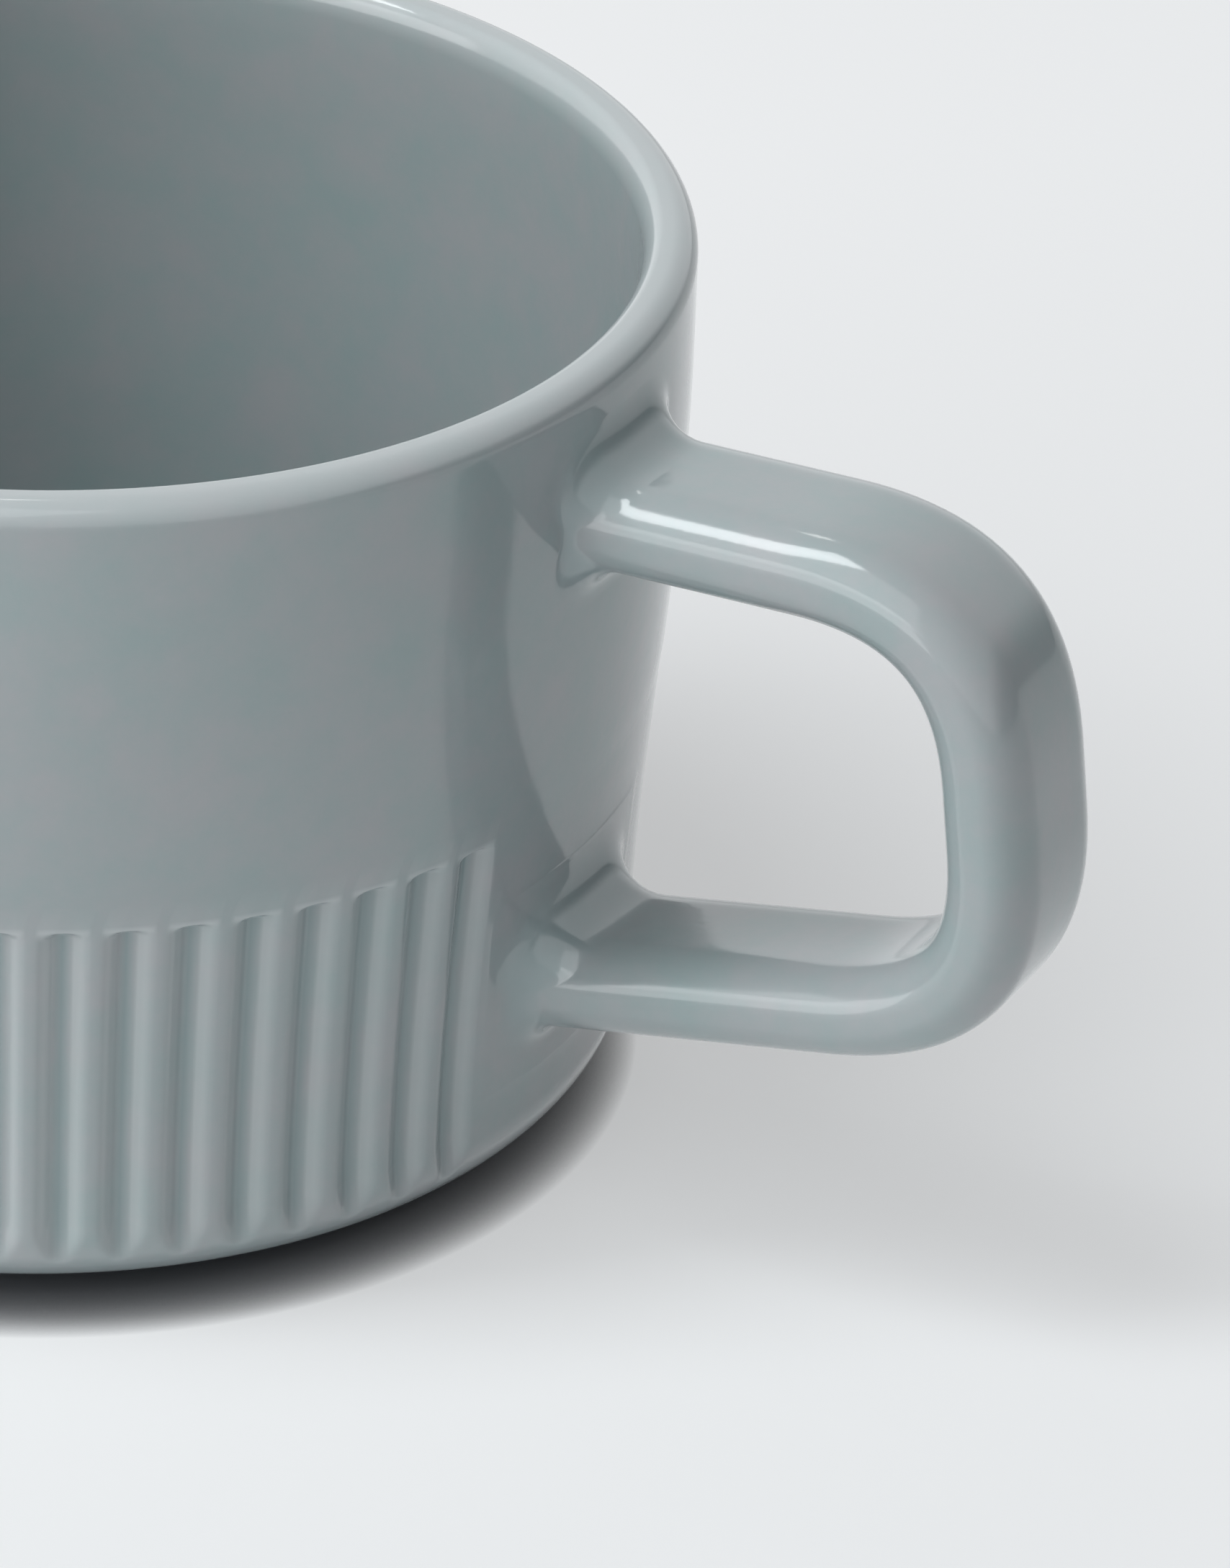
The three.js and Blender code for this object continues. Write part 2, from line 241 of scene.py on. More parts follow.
# %% [markdown]
# All pieces are parts of one unbroken glazed skin, so they share one list of points, and each
# piece is only a set of faces on it. That way two pieces that meet use the very same points along
# their joint, and the normals can be worked out across it, so no seam shows in the gloss.
# A small notebook of points and faces is enough; bmesh would do the same with more ceremony.

# %% A notebook of points and faces
skin_points = []
skin_glaze_and_light = []
skin_faces = {}
hidden_faces = {}


def add_points(places, glaze=0.0):
    """Notes points of the skin and gives their numbers. glaze is 1 where it pools, -1 where it thins; on the
    flutes that thinning is partly painted light.
    """
    places = np.asarray(places, float)
    first = sum(len(batch) for batch in skin_points)
    skin_points.append(places.reshape(-1, 3))
    skin_glaze_and_light.append(np.broadcast_to(glaze, places.shape[:-1]).astype(float).ravel())
    return np.arange(first, first + skin_points[-1].shape[0]).reshape(places.shape[:-1])


def add_faces(piece, faces, hidden=False):
    book = hidden_faces if hidden else skin_faces
    book.setdefault(piece, []).extend(tuple(int(number) for number in face) for face in faces)


def ring_strip(lower, upper):
    """Four-sided faces between two closed rows of the same length."""
    after_lower = np.roll(lower, -1)
    after_upper = np.roll(upper, -1)
    return np.stack([lower, after_lower, after_upper, upper], axis=-1)


def row_points(radius, z, angles, glaze=0.0):
    z = np.broadcast_to(z, angles.shape)
    places = np.stack([radius * np.cos(angles), radius * np.sin(angles), z], axis=-1)
    return add_points(places, glaze)


def all_points():
    return np.concatenate(skin_points)


print("notebook ready")

# %% [markdown]
# Now the rows. The profile is followed from the middle of the underside, out over the foot ring,
# round the base corner, up the wall, over the lip, down the inside and back to the middle of the
# floor. Each row is a radius and a height. Under the cup they cross the recess and the foot ring,
# whose edges are eased as a wet sponge leaves them.

# %% Rows of the underside
RECESS_RADII = (4.0, 9.0, 14.0, 18.0, 20.0)
FOOT_EDGE_EASE = 0.3
FOOT_INNER_SLACK = 0.2
FOOT_OUTER_SLACK = 0.5
FOOT_EDGE_ROWS = 8
FOOT_FACE_ROWS = 4
UNDERSIDE_ROWS = 3


def steps(start, stop, count):
    """count places from just after start up to stop."""
    return np.linspace(start, stop, count + 1)[1:]


def underside_rows():
    """From the middle of the recess over the foot ring to the base corner, with eased edges."""
    rows = [(radius, FOOT_RECESS) for radius in RECESS_RADII]
    inner_start = FOOT_INNER - FOOT_RECESS - FOOT_INNER_SLACK
    inner_end = FOOT_INNER + FOOT_EDGE_EASE
    for radius in steps(inner_start, inner_end, FOOT_EDGE_ROWS):
        across = (radius - inner_start) / (inner_end - inner_start)
        rows.append((radius, FOOT_RECESS * (1 - smooth(across))))
    outer_start = FOOT_RADIUS - FOOT_EDGE_EASE
    outer_end = FOOT_RADIUS + FOOT_DRAFT + FOOT_OUTER_SLACK
    rows += [(radius, 0.0) for radius in steps(inner_end, outer_start, FOOT_FACE_ROWS)]
    for radius in steps(outer_start, outer_end, FOOT_EDGE_ROWS):
        across = (radius - outer_start) / (outer_end - outer_start)
        rows.append((radius, FOOT_HEIGHT * smooth(across)))
    rows += [(radius, FOOT_HEIGHT) for radius in steps(outer_end, UNDERSIDE_RADIUS, UNDERSIDE_ROWS)]
    return rows


foot_rows = underside_rows()
print(f"{len(foot_rows)} rows from the middle of the recess to the base corner")

# %% [markdown]
# The fluted wall takes most of the rows. They lie close where the flutes run out on the base corner
# and where they end at the top, and even where the handle's lower root is let in.

# %% Rows of the fluted wall
ROOT_ROWS = 16
LOWER_WINDOW = (7.8, 20.6)
RUN_OUT_ANGLE = -38.0
TOP_ZONE_MARGIN = 0.2
FLUTE_TOP_ZONE = (FLUTE_TOP - FLUTE_END - TOP_ZONE_MARGIN, FLUTE_TOP + TOP_ZONE_MARGIN)
CORNER_ROWS = 7
RUN_OUT_ROWS = 14
BELOW_WINDOW_ROWS = 2
ABOVE_WINDOW_ROWS = 4
TOP_ZONE_ROWS = 12


def arc_rows(middle_radius, middle_z, radius, start, stop, count):
    angles = np.radians(steps(start, stop, count))
    return [(middle_radius + radius * math.cos(a), middle_z + radius * math.sin(a)) for a in angles]


def wall_rows(start, stop, count):
    return [(float(wall_radius(z)), z) for z in steps(start, stop, count)]


foot_rows += arc_rows(UNDERSIDE_RADIUS, WAIST_Z, BASE_CORNER, -90, RUN_OUT_ANGLE, CORNER_ROWS)
flute_rows = arc_rows(UNDERSIDE_RADIUS, WAIST_Z, BASE_CORNER, RUN_OUT_ANGLE, 0, RUN_OUT_ROWS)
flute_rows += wall_rows(WAIST_Z, LOWER_WINDOW[0], BELOW_WINDOW_ROWS)
lower_window_row = len(flute_rows) - 1
flute_rows += wall_rows(*LOWER_WINDOW, ROOT_ROWS)
flute_rows += wall_rows(LOWER_WINDOW[1], FLUTE_TOP_ZONE[0], ABOVE_WINDOW_ROWS)
flute_rows += wall_rows(*FLUTE_TOP_ZONE, TOP_ZONE_ROWS)
print(f"{len(flute_rows)} rows over the flutes")

# %% [markdown]
# The wall above is plain, so its rows use the coarse columns. The lip is a tight arc outside and a
# longer, flatter one inside, which is what makes it pleasant to drink from.

# %% Rows of the upper wall, the lip and the inside
UPPER_WINDOW = (35.4, 47.9)
COARSE_MARGIN = 0.5
COARSE_START = FLUTE_TOP_ZONE[1] + COARSE_MARGIN
UPPER_WALL_ROWS = 12
LIP_ROWS = 12
INNER_WALL_ROWS = 18
INNER_CORNER_ROWS = 18
FLOOR_ROWS = 8
FLOOR_LAST_RADIUS = 1.5
LIP_START = CUP_HEIGHT - LIP_OUTER_ROUND
LIP_OUTER_MIDDLE = RIM_RADIUS - LIP_OUTER_ROUND
LIP_INNER_START = CUP_HEIGHT - LIP_INNER_DROP
LIP_INNER_MIDDLE = float(inner_radius(LIP_INNER_START)) + LIP_INNER_WIDTH
INNER_CORNER_MIDDLE = float(inner_radius(INNER_CORNER_TOP)) - INNER_CORNER

upper_rows = wall_rows(COARSE_START, UPPER_WINDOW[0], UPPER_WALL_ROWS)
upper_window_row = len(upper_rows) - 1
upper_rows += wall_rows(*UPPER_WINDOW, ROOT_ROWS)
upper_rows += wall_rows(UPPER_WINDOW[1], LIP_START, 1)
lip_first_row = len(upper_rows)
upper_rows += arc_rows(LIP_OUTER_MIDDLE, LIP_START, LIP_OUTER_ROUND, 0, 90, LIP_ROWS)
upper_rows += [((LIP_OUTER_MIDDLE + LIP_INNER_MIDDLE) / 2, CUP_HEIGHT), (LIP_INNER_MIDDLE, CUP_HEIGHT)]
for out, up in arc_rows(0, 0, 1, 90, 180, LIP_ROWS):
    upper_rows.append((LIP_INNER_MIDDLE + out * LIP_INNER_WIDTH, LIP_INNER_START + up * LIP_INNER_DROP))
lip_last_row = len(upper_rows)
for z in steps(LIP_INNER_START, INNER_CORNER_TOP, INNER_WALL_ROWS):
    upper_rows.append((float(inner_radius(z)), z))
inner_corner_row = len(upper_rows)
upper_rows += arc_rows(INNER_CORNER_MIDDLE, INNER_CORNER_TOP, INNER_CORNER, 0, -90, INNER_CORNER_ROWS)
inner_floor_row = len(upper_rows)
for radius in steps(INNER_CORNER_MIDDLE, FLOOR_LAST_RADIUS, FLOOR_ROWS):
    upper_rows.append((radius, FLOOR_TOP))
print(f"{len(upper_rows)} rows above the flutes and inside")

# %% [markdown]
# The rows now become points. Each point also notes how deep the glaze lies on it, because molten
# glaze runs: it gathers in the bed of a flute and in the floor's corner, and it thins on a flute's
# flanks, along its top edge and over the lip. On the flanks and along the top edge the paler thin
# glaze is partly painted light: it brightens both flanks as light falling on them would, and paints a
# highlight along each flute's top edge. This could be painted by hand with Vertex Paint, but
# the shape itself already says where the glaze goes.

# %% Points of the bowl and the depth of the glaze
FLUTE_POOLING = 0.8
# thin glaze on both flanks of a flute, and also painted light that brightens them
FLANK_THINNING_AND_PAINTED_LIGHT = 0.95
# thin glaze along each flute's top edge, which also serves as a painted highlight there
FLUTE_TOP_THIN_AND_PAINTED_HIGHLIGHT = 0.5
LIP_THINNING = -0.7
CORNER_POOLING = 0.6
FLUTE_EDGE_EASE = 0.3
BED_HALF_WIDTH = 0.6
FLANK_OFFSET = 0.85
FLANK_SPREAD = 0.35
TOP_EDGE_DROP = 0.1
TOP_EDGE_SPREAD = 0.25


def soft_bump(value, middle, spread):
    """Rises to 1 at a middle and falls off softly on both sides."""
    return np.exp(-(((value - middle) / spread) ** 2))


def flute_glaze_and_light(radius, cut, z):
    """Depth of the glaze along one row of the fluted wall, with painted light on the flanks and the top edge
    given as thinner glaze.
    """
    beside = np.abs(flute_offset(FINE))
    cut_share = np.clip((radius - cut) / FLUTE_DEPTH, 0, 1)
    in_flute = smooth((FLUTE_EDGE - beside) / FLUTE_EDGE_EASE)
    in_bed = smooth(1 - beside / BED_HALF_WIDTH)
    on_flank = soft_bump(beside, FLANK_OFFSET, FLANK_SPREAD)
    on_top_edge = in_flute * soft_bump(z, FLUTE_TOP - TOP_EDGE_DROP, TOP_EDGE_SPREAD)
    # the flank term thins the glaze and is also painted light on both flanks
    depth = cut_share * (FLUTE_POOLING * in_bed - FLANK_THINNING_AND_PAINTED_LIGHT * on_flank)
    # thin glaze along the top edge, also a painted highlight
    return depth - FLUTE_TOP_THIN_AND_PAINTED_HIGHLIGHT * on_top_edge


def upper_glaze(row):
    """Depth of the glaze on one row above the flutes."""
    if lip_first_row <= row < lip_last_row:
        along = (row - lip_first_row) / (lip_last_row - lip_first_row)
        return LIP_THINNING * math.sin(math.pi * along)
    if inner_corner_row <= row < inner_floor_row:
        along = (row - inner_corner_row) / (inner_floor_row - inner_corner_row)
        return CORNER_POOLING * math.sin(math.pi * along)
    return 0.0


foot_skin = [row_points(radius, z, COARSE) for radius, z in foot_rows]
flute_skin = []
for radius, z in flute_rows:
    cut = fluted_radius(radius, FINE, z)
    flute_skin.append(row_points(cut, z, FINE, flute_glaze_and_light(radius, cut, z)))
upper_skin = []
for row, (radius, z) in enumerate(upper_rows):
    upper_skin.append(row_points(radius, z, COARSE, upper_glaze(row)))
print(f"{len(all_points())} points on the bowl")

# %% [markdown]
# With columns and rows settled, the grid is stitched. Where a fine row meets a coarse one, three
# narrow columns close onto one wide one with a triangle at each side of a four-sided face. In the
# panel two windows are left open, and the handle's roots will be let into them.

# %% Stitch the bowl
BODY = "cup_body_glazed"


def third_strip(fine, coarse, coarse_below):
    """Faces from a fine row to a coarse row, on either side of the flutes."""
    faces = []
    for column in range(len(coarse)):
        here, after = coarse[column], coarse[(column + 1) % len(coarse)]
        first = COARSE_PICK[column]
        span = 1 if column < PANEL_COLUMNS else FINE_PER_COARSE
        edge = [fine[(first + k) % len(fine)] for k in range(span + 1)]
        if span == 1:
            fan = [(edge[0], edge[1], after, here)]
        else:
            fan = [(edge[0], edge[1], here), (edge[1], edge[2], after, here), (edge[2], edge[3], after)]
        faces += [face[::-1] for face in fan] if coarse_below else fan
    return faces


def stitch(rows, window_row):
    """Strips between rows, leaving the window open in the panel's columns."""
    for index in range(len(rows) - 1):
        strip = ring_strip(rows[index], rows[index + 1])
        in_window = window_row is not None and window_row <= index < window_row + ROOT_ROWS
        add_faces(BODY, strip[ROOT_COLUMNS:] if in_window else strip)


stitch(foot_skin, None)
add_faces(BODY, third_strip(flute_skin[0], foot_skin[-1], True))
stitch(flute_skin, lower_window_row)
add_faces(BODY, third_strip(flute_skin[-1], upper_skin[0], False))
stitch(upper_skin, upper_window_row)

underside_middle = add_points([(0, 0, FOOT_RECESS)])[0]
floor_middle = add_points([(0, 0, FLOOR_TOP)])[0]
for here, after in zip(foot_skin[0], np.roll(foot_skin[0], -1)):
    add_faces(BODY, [(underside_middle, after, here)])
for here, after in zip(upper_skin[-1], np.roll(upper_skin[-1], -1)):
    add_faces(BODY, [(here, after, floor_middle)])
print(f"bowl: {len(skin_faces[BODY])} faces")

# %% [markdown]
# The handle is a strap with well rounded edges, bent into a squared loop. Its centreline is two
# straight arms and a grip joined by Bezier bends. A curve object with a bevel could sweep it, but
# the two ends have to follow the round of the wall, so the rings are placed one by one, each with as
# many points as a window has along its edge. The points lie closer together on the round edges.
# The grip is set in by a hair, which keeps the skin inside the box of the imported model.

# %% The handle's centreline and section
HANDLE_THICKNESS = 5.1
HANDLE_EDGE_RADIUS = 2.3
HANDLE_EDGE_REACH = 2.9
HANDLE_REACH = 23.4
HANDLE_DROP = 8.1
HANDLE_FOOT = 13.6
UPPER_ARM_RISE = 0.7
LOWER_ARM_RISE = 5.25
GRIP_LEAN = 2.9
HANDLE_BEND = 10.1
BEND_FULLNESS = 0.69
GRIP_INSET = 0.002
SIDE_SAMPLES = 200
EDGE_SAMPLES = 1000
TOP_SAMPLES = 300

UPPER_ROOT_Z = CUP_HEIGHT - HANDLE_DROP
GRIP_X = RIM_RADIUS + HANDLE_REACH - GRIP_INSET
upper_root = np.array([float(wall_radius(UPPER_ROOT_Z)), UPPER_ROOT_Z])
upper_corner = np.array([GRIP_X - GRIP_LEAN / 2, UPPER_ROOT_Z + UPPER_ARM_RISE])
lower_corner = np.array([GRIP_X + GRIP_LEAN / 2, HANDLE_FOOT + LOWER_ARM_RISE])
lower_root = np.array([float(wall_radius(HANDLE_FOOT)), HANDLE_FOOT])


def unit(vector):
    return vector / np.linalg.norm(vector)


def bend_frames(before, corner, after, count):
    """Places along a bend and the way of travel at each."""
    start = corner + unit(before - corner) * HANDLE_BEND
    end = corner + unit(after - corner) * HANDLE_BEND
    start_pull = start + (corner - start) * BEND_FULLNESS
    end_pull = end + (corner - end) * BEND_FULLNESS
    frames = []
    for t in np.linspace(0, 1, count + 1):
        s = 1 - t
        place = s**3 * start + 3 * s * s * t * start_pull + 3 * s * t * t * end_pull + t**3 * end
        travel = s * s * (start_pull - start) + 2 * s * t * (end_pull - start_pull)
        travel = travel + t * t * (end - end_pull)
        frames.append((place, unit(travel)))
    return frames


def strap_quarter(count):
    """A quarter of the strap's section from its side to its top, closer together on the round edge."""
    side = HANDLE_WIDTH / 2 - HANDLE_EDGE_REACH
    top = HANDLE_THICKNESS / 2 - HANDLE_EDGE_RADIUS
    on_edge = np.linspace(0, 90, EDGE_SAMPLES)
    swing = np.radians(np.concatenate([np.zeros(SIDE_SAMPLES), on_edge, np.full(TOP_SAMPLES, 90.0)]))
    facing = np.stack([HANDLE_EDGE_RADIUS * np.cos(swing), HANDLE_EDGE_REACH * np.sin(swing)], axis=-1)
    facing /= np.linalg.norm(facing, axis=-1, keepdims=True)
    place = np.stack([HANDLE_EDGE_REACH * np.cos(swing), HANDLE_EDGE_RADIUS * np.sin(swing)], axis=-1)
    out_to_edge = np.full(SIDE_SAMPLES + EDGE_SAMPLES, side)
    up_to_top = np.full(EDGE_SAMPLES + TOP_SAMPLES, top)
    place[:, 0] += np.concatenate([out_to_edge, np.linspace(side, 0, TOP_SAMPLES)])
    place[:, 1] += np.concatenate([np.linspace(0, top, SIDE_SAMPLES), up_to_top])
    length = np.concatenate([[0], np.cumsum(np.linalg.norm(np.diff(place, axis=0), axis=-1))])
    measure = length / length[-1] + swing / swing[-1]
    pick = np.interp(np.linspace(0, measure[-1], count + 1), measure, np.arange(len(swing)))
    pick = np.round(pick).astype(int)
    return place[pick], facing[pick]


def strap_section():
    """Places (across, outwards) round the strap from its +Y side, and the way each faces."""
    place, facing = strap_quarter((ROOT_COLUMNS + ROOT_ROWS) // 2)
    turns = []
    for mirror, backwards in (((1, 1), False), ((-1, 1), True), ((-1, -1), False), ((1, -1), True)):
        both = np.stack([place * mirror, facing * mirror])
        turns.append(both[:, :0:-1] if backwards else both[:, :-1])
    both = np.concatenate(turns, axis=1)
    return both[0], both[1]


SECTION, SECTION_FACING = strap_section()
print(f"{len(SECTION)} points round the strap")

# %% [markdown]
# Where the strap meets the wall, slip has been wiped into a fillet: largest above the strap, where
# a finger draws it down, and nearly wiped away beside the upper root. Each point of the strap
# slides along its arm until it stands the right distance off the wall, and rings at growing slopes
# make the fillet.

# %% Rings of the roots
UPPER_FILLET_SIZES = {"above": 3.0, "beside": 0.6, "below": 2.4}
LOWER_FILLET_SIZES = {"above": 3.8, "beside": 1.5, "below": 1.5}
FILLET_RINGS = 10
SLIDE_STEPS = 25


def strap_ring(place, travel, offsets):
    """Points of a section set square to the centreline."""
    across, outward = offsets[:, 0], offsets[:, 1]
    return np.stack([place[0] - outward * travel[1], across, place[1] + outward * travel[0]], axis=-1)


class Root:
    """One end of the handle at the wall."""

    def __init__(self, place, outwards, travel, window_row, rows, sizes):
        self.place = place
        self.outwards = np.array([outwards[0], 0, outwards[1]])
        self.travel = travel
        self.window_row = window_row
        self.rows = rows
        self.top_side = math.copysign(1, travel[0])
        upwards = SECTION_FACING[:, 1] * self.top_side
        far = np.where(upwards > 0, sizes["above"], sizes["below"])
        self.fillet = sizes["beside"] + (far - sizes["beside"]) * smooth(np.abs(upwards))

    def ring(self, spread, rise):
        """Flares by a share of the fillet beyond the strap, and stands off the wall by a share of it."""
        flared = SECTION + SECTION_FACING * (self.fillet * spread)[:, None]
        points = strap_ring(self.place, self.travel, flared)
        for _ in range(SLIDE_STEPS):
            short = wall_radius(points[:, 2]) + self.fillet * rise - np.hypot(points[:, 0], points[:, 1])
            points = points + short[:, None] * self.outwards
        return points

    def window_edge(self):
        """Point numbers round the window, in step with the strap's points."""
        low, high = self.window_row, self.window_row + ROOT_ROWS
        right = [self.rows[row][ROOT_COLUMNS] for row in range(low, high + 1)]
        left = [self.rows[row][0] for row in range(low, high + 1)]
        bottom = list(self.rows[low][: ROOT_COLUMNS + 1])
        top = list(self.rows[high][: ROOT_COLUMNS + 1])
        middle = ROOT_ROWS // 2
        if self.top_side > 0:
            return np.array(right[middle:-1] + top[:0:-1] + left[:0:-1] + bottom[:-1] + right[:middle])
        return np.array(right[middle:0:-1] + bottom[:0:-1] + left[:-1] + top[:-1] + right[:middle:-1])


upper_arm = unit(upper_corner - upper_root)
lower_arm = unit(lower_corner - lower_root)
upper = Root(upper_root, upper_arm, upper_arm, upper_window_row, upper_skin, UPPER_FILLET_SIZES)
lower = Root(lower_root, lower_arm, -lower_arm, lower_window_row, flute_skin, LOWER_FILLET_SIZES)
print(f"fillets from {min(upper.fillet):.1f} to {max(upper.fillet):.1f} mm")

# %% [markdown]
# A round root in a square window is an old modelling problem. Rings that change step by step from
# the window's outline to the fillet's outline solve it with clean four-sided faces. They are
# worked out as angle and height, so every point of them lies on the wall.

# %% Let the roots into the wall
WINDOW_RINGS = 7
FILLET_POOLING = 0.5


def root_skin(root, fillet_piece):
    """Faces of the wall round one root and of its fillet. Gives the fillet's first and last ring."""

    def strip(inner, outer):
        faces = ring_strip(outer, inner)
        return faces if root.top_side > 0 else faces[:, ::-1]

    edge = root.window_edge()
    edge_places = all_points()[edge]
    edge_angle = np.arctan2(edge_places[:, 1], edge_places[:, 0])
    first = root.ring(1, 0)
    first_angle = np.arctan2(first[:, 1], first[:, 0])
    before = edge
    for share in steps(0, 1, WINDOW_RINGS):
        angle = edge_angle + (first_angle - edge_angle) * share
        z = edge_places[:, 2] + (first[:, 2] - edge_places[:, 2]) * share
        ring = row_points(wall_radius(z), z, angle)
        add_faces(BODY, strip(ring, before))
        before = ring
    wall_ring = before
    for slope in steps(0, math.pi / 2, FILLET_RINGS):
        places = root.ring(1 - math.sin(slope), 1 - math.cos(slope))
        ring = add_points(places, FILLET_POOLING * math.sin(2 * slope))
        add_faces(fillet_piece, strip(ring, before))
        before = ring
    return wall_ring, before


UPPER_FILLET = "upper_slip_fillet"
LOWER_FILLET = "lower_slip_fillet"
upper_wall_ring, upper_strap_ring = root_skin(upper, UPPER_FILLET)
lower_wall_ring, lower_strap_ring = root_skin(lower, LOWER_FILLET)
print(f"fillets: {len(skin_faces[UPPER_FILLET])} and {len(skin_faces[LOWER_FILLET])} faces")

# %% [markdown]
# The strap itself is a sweep: rings along the upper arm, round a bend, down the grip, round the
# other bend and back along the lower arm. Each arm starts from the ring that follows the wall and
# ends at the flat ring where its bend begins, with even steps between the two.

# %% Sweep the strap
STRAP = "handle_glazed"
ARM_RINGS = 12
BEND_RINGS = 26
GRIP_RINGS = 6


def between(start, end, count):
    """Rings of points at even steps between two rings, without the two."""
    return [start + (end - start) * share for share in np.linspace(0, 1, count + 1)[1:-1]]


upper_bend = bend_frames(upper_root, upper_corner, lower_corner, BEND_RINGS)
lower_bend = bend_frames(upper_corner, lower_corner, lower_root, BEND_RINGS)
upper_bend_rings = [strap_ring(place, travel, SECTION) for place, travel in upper_bend]
lower_bend_rings = [strap_ring(place, travel, SECTION) for place, travel in lower_bend]
strap_rings = between(all_points()[upper_strap_ring], upper_bend_rings[0], ARM_RINGS)
strap_rings += upper_bend_rings
strap_rings += between(upper_bend_rings[-1], lower_bend_rings[0], GRIP_RINGS)
strap_rings += lower_bend_rings
strap_rings += between(lower_bend_rings[-1], all_points()[lower_strap_ring], ARM_RINGS)
strap_skin = [upper_strap_ring] + [add_points(ring) for ring in strap_rings] + [lower_strap_ring]
for before, after in zip(strap_skin, strap_skin[1:]):
    add_faces(STRAP, ring_strip(before, after))
print(f"strap: {len(skin_faces[STRAP])} faces")

# %% [markdown]
# Each piece is a body of its own, so it is closed where the next one begins. These closing faces
# lie inside the clay and never show. They are gathered apart, because they must not take part in
# the normals of the visible skin.

# %% Close each piece inside its joints
CAP_SHARES = (0.66, 0.33)
CAP_BULGE = 0.1


def close_ring(piece, ring, bulge_way, flip):
    """Closes a piece across a ring, with a slight bulge along a direction."""
    places = all_points()[ring]
    middle = places.mean(axis=0)
    before = ring
    for share in CAP_SHARES:
        bulge = CAP_BULGE * (1 - share) * np.asarray(bulge_way)
        inner = add_points(middle + (places - middle) * share + bulge)
        strip = ring_strip(before, inner)
        add_faces(piece, strip[:, ::-1] if flip else strip, hidden=True)
        before = inner
    hub = add_points([middle + CAP_BULGE * np.asarray(bulge_way)])[0]
    fan = [(here, after, hub) for here, after in zip(before, np.roll(before, -1))]
    add_faces(piece, [face[::-1] for face in fan] if flip else fan, hidden=True)


for root, wall_ring, strap_start, fillet in (
    (upper, upper_wall_ring, upper_strap_ring, UPPER_FILLET),
    (lower, lower_wall_ring, lower_strap_ring, LOWER_FILLET),
):
    at_lower = root is lower
    close_ring(BODY, wall_ring, -root.outwards, at_lower)
    close_ring(fillet, wall_ring, root.outwards, not at_lower)
    close_ring(fillet, strap_start, -root.outwards, at_lower)
    close_ring(STRAP, strap_start, root.outwards, not at_lower)
print("closing faces:", {piece: len(faces) for piece, faces in hidden_faces.items()})

# %% [markdown]
# Now the notebook becomes Blender meshes. The normals come from the whole visible skin, so a point
# on a joint has one normal for both pieces. A glaze attribute rides along for the material: where
# glaze pools it is positive, and where it runs thin over an edge it is negative. On the flutes'
# flanks and top edges that negative part is also painted light.

# %% Turn the notebook into meshes
points_mm = all_points()
glaze_depth_and_light = np.concatenate(skin_glaze_and_light)


def skin_normals():
    """One normal per point, from all visible faces around it, weighted by area."""
    normals = np.zeros_like(points_mm)
    for faces in skin_faces.values():
        for size in (3, 4):
            chosen = np.array([face for face in faces if len(face) == size], int)
            if len(chosen) == 0:
                continue
            corners = points_mm[chosen]
            across = corners[:, 2] - corners[:, 0]
            if size == 4:
                area = np.cross(across, corners[:, 3] - corners[:, 1])
            else:
                area = np.cross(corners[:, 1] - corners[:, 0], across)
            for corner in range(size):
                np.add.at(normals, chosen[:, corner], area)
    length = np.linalg.norm(normals, axis=1, keepdims=True)
    return np.where(length > 0, normals / np.maximum(length, 1e-12), (0, 0, 1))


point_normals = skin_normals()


def make_piece(name):
    faces = skin_faces[name] + hidden_faces.get(name, [])
    used = np.unique(np.concatenate([np.array(face) for face in faces]))
    number = np.full(len(points_mm), -1)
    number[used] = np.arange(len(used))
    places = (points_mm[used] + (AXIS_X, 0, 0)) / MM
    mesh = bpy.data.meshes.new(name)
    mesh.from_pydata(places.tolist(), [], [[int(number[p]) for p in face] for face in faces])
    mesh.polygons.foreach_set("use_smooth", [True] * len(mesh.polygons))
    attribute = mesh.attributes.new("glaze_depth_and_light", "FLOAT", "POINT")
    attribute.data.foreach_set("value", glaze_depth_and_light[used].astype(np.float32))
    mesh.update()
    mesh.normals_split_custom_set_from_vertices(point_normals[used].tolist())
    piece = bpy.data.objects.new(name, mesh)
    bpy.context.scene.collection.objects.link(piece)
    return piece


pieces = {name: make_piece(name) for name in (BODY, STRAP, UPPER_FILLET, LOWER_FILLET)}
for name, piece in pieces.items():
    print(name, len(piece.data.vertices), "points,", len(piece.data.polygons), "faces")

# %% [markdown]
# Every piece is tied to the frame: it rides on the cup's one body, and the CAD solid that it stands
# for is hidden.

# %% Tie the pieces to the frame
STANDS_FOR = {
    BODY: ("cup_body", "body_glaze"),
    STRAP: ("handle", "handle_glaze"),
    UPPER_FILLET: ("upper_slip_joint", "joint_glaze"),
    LOWER_FILLET: ("lower_slip_joint", "joint_glaze"),
}
for name, (node, slot) in STANDS_FOR.items():
    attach(pieces[name], "root")
    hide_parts(node)
print("pieces ride on root")

# %% [markdown]
# The glaze is a blue-grey glass over stoneware. It is not one colour: it drifts a little towards
# green and towards pink over a few millimetres, grows deeper where it pools in the flutes and
# paler where it runs thin over an edge, and has a few pinholes. On the flanks and top edges of the
# flutes that paler colour is also painted light. Noise textures in object space run
# on unbroken from piece to piece. A glossy coloured layer is enough, with no clear coat over it: the
# coat would add a second mirror, and the photo shows one crisp reflection in the wall.

